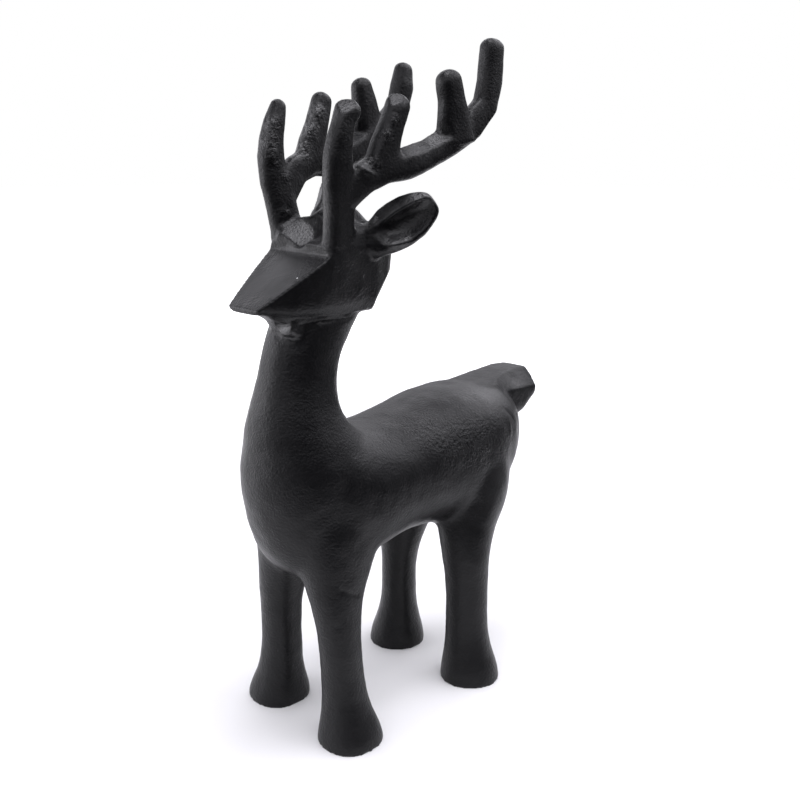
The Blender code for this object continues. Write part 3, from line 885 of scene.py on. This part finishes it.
# Places where the coat is burnished and mirrors more, in the same terms
RUBBED = [
    ((-6.0, -44.0, 265.2), 12.0, 0.5),
    ((31.8, -12.4, 262.8), 9.0, 1.0),
    ((36.8, -2.2, 283.2), 11.0, 1.0),
    ((26.4, -11.4, 274.9), 8.0, 0.8),
    ((9.6, -66.0, 222.6), 9.0, 1.0),
    ((33.0, 2.0, 306.0), 10.0, 0.7),
    ((33.6, 14.0, 311.0), 10.0, 0.9),
    ((31.0, -43.6, 323.8), 9.0, 0.4),
    ((-24.6, -15.6, 324.8), 9.0, 1.0),
    ((-24.9, -21.0, 315.8), 9.0, 1.0),
    ((-24.5, -26.2, 305.8), 9.0, 1.0),
    ((-22.5, -46.9, 318.5), 8.0, 0.5),
    ((-21.9, -48.8, 310.8), 8.0, 0.5),
    ((13.0, 106.0, 167.6), 10.0, 0.4),
    ((30.4, -33.3, 297.1), 6.0, 0.6),
    ((38.0, 62.0, 112.0), 26.0, 0.9),
    ((18.0, 66.0, 168.0), 20.0, 0.5),
    ((26.0, -44.0, 280.0), 26.0, 0.6),
    ((21.0, -40.0, 244.0), 26.0, 0.4),
]
mark(casting, "brushed", BRUSHED)
mark(casting, "rubbed", RUBBED)
mark(casting, "mottled", MOTTLED + PITTED)
mark(casting, "ground", GROUND_FACES)

# Matt black enamel, brushed on bare sand-cast aluminium and baked. It gives the eye a
# charcoal skin that is nearly black where it faces the eye and pale grey where it
# catches the light at a flat angle. The sand's grain shows through, and brush hairs
# have left fine lines on the back and the breast.


def linear(hex_colour):
    """An sRGB hex colour as linear red, green, blue and alpha."""
    values = []
    for start in (1, 3, 5):
        share = int(hex_colour[start : start + 2], 16) / 255
        values.append(share / 12.92 if share <= 0.04045 else ((share + 0.055) / 1.055) ** 2.4)
    return (*values, 1.0)


DEEP_BLACK = "#070709"
DUSTY_BLACK = "#0f0f11"
CHIP_GREY = "#b8b8b8"
# Patterns in millimetres. The sand's grain and the brush's hairs are finer than this on a real
# casting, and are drawn as coarse as they need to show.
CLOUD_SIZE = 14.0
GRAIN_WIDTH = 1.3
GRAIN_DEPTH = 0.32
SPECKLE_WIDTH = 2.6
SPECKLE_DEPTH = 0.95
HAIR_WIDTH = 0.8
HAIR_DEPTH = 0.40
HAIR_LENGTH = 9.0
HAIR_TURN = (0.0, math.radians(38), math.radians(30))
# Cloud values between which the coat goes from its roughest to its smoothest
CLOUD_LOW = 0.3
CLOUD_HIGH = 0.7
ROUGHEST = 0.42
SMOOTHEST = 0.33
# Mottled lumps are smoother than what lies round them
LUMP_ROUGHNESS = -0.20
COAT_IOR_LEVEL = 0.27
RUBBED_IOR_LEVEL = 0.72
# A chip on the muzzle that shows bare metal: place, radius, and the share of it that is bare
CHIP_PLACE = (15.9, -63.6, 247.5)
CHIP_RADIUS = 0.55
CHIP_BARE = 0.6
coat.use_nodes = True
coat_tree = coat.node_tree
shader = coat_tree.nodes["Principled BSDF"]
spot = add(coat_tree, "ShaderNodeTexCoord").outputs["Object"]
brushed = add(coat_tree, "ShaderNodeAttribute", {"attribute_name": "brushed"}).outputs["Fac"]
mottled = add(coat_tree, "ShaderNodeAttribute", {"attribute_name": "mottled"}).outputs["Fac"]
smoothed = add(coat_tree, "ShaderNodeAttribute", {"attribute_name": "ground"}).outputs["Fac"]
cloud_scale = 1 / (CLOUD_SIZE * METRES)
clouds = add(coat_tree, "ShaderNodeTexNoise", None, Vector=spot, Scale=cloud_scale, Detail=4.0).outputs[0]
blacks = {"i6": linear(DEEP_BLACK), "i7": linear(DUSTY_BLACK)}
colour = add(coat_tree, "ShaderNodeMix", {"data_type": "RGBA"}, Factor=clouds, **blacks).outputs[2]
chip_away = add(
    coat_tree, "ShaderNodeVectorMath", {"operation": "DISTANCE"}, i0=spot, i1=place(*CHIP_PLACE)
).outputs[1]
chip = add(
    coat_tree,
    "ShaderNodeMapRange",
    None,
    Value=chip_away,
    From_Min=CHIP_RADIUS * CHIP_BARE * MM,
    From_Max=CHIP_RADIUS * MM,
    To_Min=1.0,
    To_Max=0.0,
).outputs[0]
colour = add(
    coat_tree, "ShaderNodeMix", {"data_type": "RGBA"}, Factor=chip, i6=colour, i7=linear(CHIP_GREY)
).outputs[2]
coat_tree.links.new(colour, shader.inputs["Base Color"])

sand = add(
    coat_tree,
    "ShaderNodeTexNoise",
    None,
    Vector=spot,
    Scale=1 / (GRAIN_WIDTH * METRES),
    Detail=2.0,
    Roughness=0.6,
).outputs[0]
speckle = add(
    coat_tree,
    "ShaderNodeTexNoise",
    None,
    Vector=spot,
    Scale=1 / (SPECKLE_WIDTH * METRES),
    Detail=3.0,
    Roughness=0.65,
).outputs[0]
hair_spot = add(coat_tree, "ShaderNodeMapping", None, Vector=spot, Rotation=HAIR_TURN).outputs[0]
hair_spot = add(
    coat_tree,
    "ShaderNodeVectorMath",
    {"operation": "MULTIPLY"},
    i0=hair_spot,
    i1=(1 / (HAIR_LENGTH * METRES), 1 / (HAIR_WIDTH * METRES), 1 / (HAIR_WIDTH * METRES)),
).outputs[0]
hairs = add(coat_tree, "ShaderNodeTexNoise", None, Vector=hair_spot, Scale=1.0, Detail=2.0).outputs[0]
hairs = add(coat_tree, "ShaderNodeMath", {"operation": "MULTIPLY"}, i0=hairs, i1=brushed).outputs[0]
speckled = add(coat_tree, "ShaderNodeMath", {"operation": "MULTIPLY"}, i0=speckle, i1=mottled).outputs[0]
kept_grain = add(coat_tree, "ShaderNodeMath", {"operation": "SUBTRACT"}, i0=1.0, i1=smoothed).outputs[0]
sand = add(coat_tree, "ShaderNodeMath", {"operation": "MULTIPLY"}, i0=sand, i1=kept_grain).outputs[0]
bump = add(
    coat_tree, "ShaderNodeBump", None, Strength=1.0, Distance=GRAIN_DEPTH * METRES, Height=sand
).outputs[0]
for depth, pattern in ((SPECKLE_DEPTH, speckled), (HAIR_DEPTH, hairs)):
    bump = add(
        coat_tree,
        "ShaderNodeBump",
        None,
        Strength=1.0,
        Distance=depth * METRES,
        Height=pattern,
        Normal=bump,
    ).outputs[0]
coat_tree.links.new(bump, shader.inputs["Normal"])
gloss = add(
    coat_tree,
    "ShaderNodeMapRange",
    None,
    Value=clouds,
    From_Min=CLOUD_LOW,
    From_Max=CLOUD_HIGH,
    To_Min=ROUGHEST,
    To_Max=SMOOTHEST,
).outputs[0]
shine = add(
    coat_tree, "ShaderNodeMath", {"operation": "MULTIPLY_ADD"}, i0=speckled, i1=LUMP_ROUGHNESS, i2=gloss
).outputs[0]
coat_tree.links.new(shine, shader.inputs["Roughness"])
rubbed = add(coat_tree, "ShaderNodeAttribute", {"attribute_name": "rubbed"}).outputs["Fac"]
burnish = add(
    coat_tree, "ShaderNodeMapRange", None, Value=rubbed, To_Min=COAT_IOR_LEVEL, To_Max=RUBBED_IOR_LEVEL
).outputs[0]
coat_tree.links.new(burnish, shader.inputs["Specular IOR Level"])
casting.data.materials.clear()
casting.data.materials.append(coat)
casting.data.shade_smooth()

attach(casting, "root")
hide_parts("reindeer")

# Floor. A plain pale studio table of white paper. The figure stands towards the right of a
# round table that the coat mirrors; the sweep of paper beyond fills the view from every side,
# and far from the figure it glows as evenly as the wall behind, so that no edge shows.
TABLE_RADIUS = 1.10
TABLE_MIDDLE = (-0.82, 0.12)
SWEEP_RADIUS = 6.0
FLOOR_STEPS = 96
GLOW_FROM = 0.45
GLOW_WHOLE = 1.2
PAPER_WHITE = "#efefef"
PAPER_ROUGHNESS = 0.9
PAPER_IOR_LEVEL = 0.2
# Uncoated white backdrop paper: it gives the eye an even pale ground without a highlight. The paper also
# carries painted glow, none within 0.45 m of the figure and full from 1.2 m, so the table that the coat
# mirrors glows as well as the sweep
paper = bpy.data.materials.new("white backdrop paper")
paper.use_nodes = True
paper_tree = paper.node_tree
paper_shader = paper_tree.nodes["Principled BSDF"]
paper_shader.inputs["Base Color"].default_value = linear(PAPER_WHITE)
paper_shader.inputs["Roughness"].default_value = PAPER_ROUGHNESS
paper_shader.inputs["Specular IOR Level"].default_value = PAPER_IOR_LEVEL
paper_shader.inputs["Emission Color"].default_value = (1, 1, 1, 1)
paper_spot = add(paper_tree, "ShaderNodeTexCoord").outputs["Object"]
paper_away = add(paper_tree, "ShaderNodeVectorMath", {"operation": "LENGTH"}, i0=paper_spot).outputs[1]
glow = add(
    paper_tree,
    "ShaderNodeMapRange",
    {"interpolation_type": "SMOOTHSTEP"},
    Value=paper_away,
    From_Min=GLOW_FROM,
    From_Max=GLOW_WHOLE,
    To_Min=0.0,
    To_Max=1.0,
).outputs[0]
# Painted glow: the paper's emission grows with its distance from the figure
paper_tree.links.new(glow, paper_shader.inputs["Emission Strength"])


def paper_round(name, rings):
    """A flat round of paper from one radius, or a ring of it from two."""
    mesh = bpy.data.meshes.new(name)
    middle_x, middle_y = TABLE_MIDDLE
    points = []
    for radius in rings:
        for step in range(FLOOR_STEPS):
            turn = 2 * math.pi * step / FLOOR_STEPS
            points.append((middle_x + radius * math.cos(turn), middle_y + radius * math.sin(turn), 0))
    if len(rings) == 1:
        sheets = [list(range(FLOOR_STEPS))]
    else:
        sheets = []
        for step in range(FLOOR_STEPS):
            after = (step + 1) % FLOOR_STEPS
            sheets.append((step, FLOOR_STEPS + step, FLOOR_STEPS + after, after))
    mesh.from_pydata(points, [], sheets)
    mesh.materials.append(paper)
    sheet = bpy.data.objects.new(name, mesh)
    bpy.context.scene.collection.objects.link(sheet)
    return sheet


paper_round("studio_table", [TABLE_RADIUS])
# The sweep is there for the eye alone: the coat mirrors the table and the panels
sweep = paper_round("studio_sweep", [TABLE_RADIUS, SWEEP_RADIUS])
sweep.visible_glossy = False
sweep.visible_diffuse = False

# Light. A white tent of soft panels over, beside and behind the figure, and little from
# the camera's own side, so that the black coat stays black there and its edges are pale.
CAMERA_TURN = math.radians(46.2)
TENT_RADIUS = 1.6
TENT_MIDDLE = Vector((0, 0, 0.1))
PANEL_AIM = Vector((0, 0, 0.18))
PANEL_TINT = (0.99, 0.98, 1.04)
TENT_BRIGHTNESS = 1.15
# Degrees round from the camera's side, degrees up, width and height in metres, brightness
PANELS = [
    (0, 12, 1.2, 0.6, 0.2),
    (90, 12, 1.2, 0.6, 0.5),
    (135, 12, 1.2, 0.6, 0.7),
    (180, 12, 1.2, 0.6, 0.6),
    (225, 12, 1.2, 0.6, 1.7),
    (270, 12, 1.2, 0.6, 3.7),
    (315, 12, 1.2, 0.6, 0.8),
    (0, 38, 1.1, 0.75, 1.0),
    (45, 38, 1.1, 0.75, 1.0),
    (90, 38, 1.1, 0.75, 1.9),
    (135, 38, 1.1, 0.75, 2.4),
    (180, 38, 1.1, 0.75, 1.6),
    (225, 38, 1.1, 0.75, 1.3),
    (270, 38, 1.1, 0.75, 0.6),
    (315, 38, 1.1, 0.75, 1.4),
    (0, 66, 1.0, 0.75, 1.6),
    (90, 66, 1.0, 0.75, 2.2),
    (0, 90, 0.7, 0.7, 6.8),
]
for index, (round_from_camera, up, wide, high, brightness) in enumerate(PANELS):
    turn = CAMERA_TURN - math.pi / 2 + math.radians(round_from_camera)
    rise = math.radians(up)
    way = Vector((math.cos(turn) * math.cos(rise), math.sin(turn) * math.cos(rise), math.sin(rise)))
    light = bpy.data.lights.new(f"panel {index}", "AREA")
    light.shape = "RECTANGLE"
    light.size = wide
    light.size_y = high
    light.color = PANEL_TINT
    # The power that gives a panel its brightness over its whole area
    light.energy = math.pi * wide * high * brightness * TENT_BRIGHTNESS
    lamp = bpy.data.objects.new(f"panel {index}", light)
    lamp.location = TENT_MIDDLE + way * TENT_RADIUS
    lamp.rotation_euler = (PANEL_AIM - lamp.location).to_track_quat("-Z", "Y").to_euler()
    lamp.visible_camera = False
    bpy.context.scene.collection.objects.link(lamp)
# The white wall behind, which the camera sees and the coat does not mirror
world = bpy.data.worlds.new("white wall")
bpy.context.scene.world = world
world.use_nodes = True
background = world.node_tree.nodes["Background"]
background.inputs["Color"].default_value = (1, 1, 1, 1)
seen = add(world.node_tree, "ShaderNodeLightPath").outputs["Is Camera Ray"]
world.node_tree.links.new(seen, background.inputs["Strength"])

# Camera. A little left of the animal's front quarter and above it, as the figure is seen.
# Its place, turn, tilt and lens were solved from matching points on the figure's two sides.
CAMERA_DOWN = math.radians(14.9)
CAMERA_PLACE = (383.8, -348.65, 310.65)
CAMERA_LENS = 43.92
SENSOR_WIDTH = 36.0
NEAREST_SEEN = 0.01
camera = bpy.data.objects.new("camera", bpy.data.cameras.new("camera"))
camera.data.sensor_width = SENSOR_WIDTH
camera.data.lens = CAMERA_LENS
camera.data.clip_start = NEAREST_SEEN
camera.location = place(*CAMERA_PLACE)
camera.rotation_euler = (math.pi / 2 - CAMERA_DOWN, 0, CAMERA_TURN)
bpy.context.scene.collection.objects.link(camera)
bpy.context.scene.camera = camera
bpy.context.scene.view_settings.view_transform = "Standard"
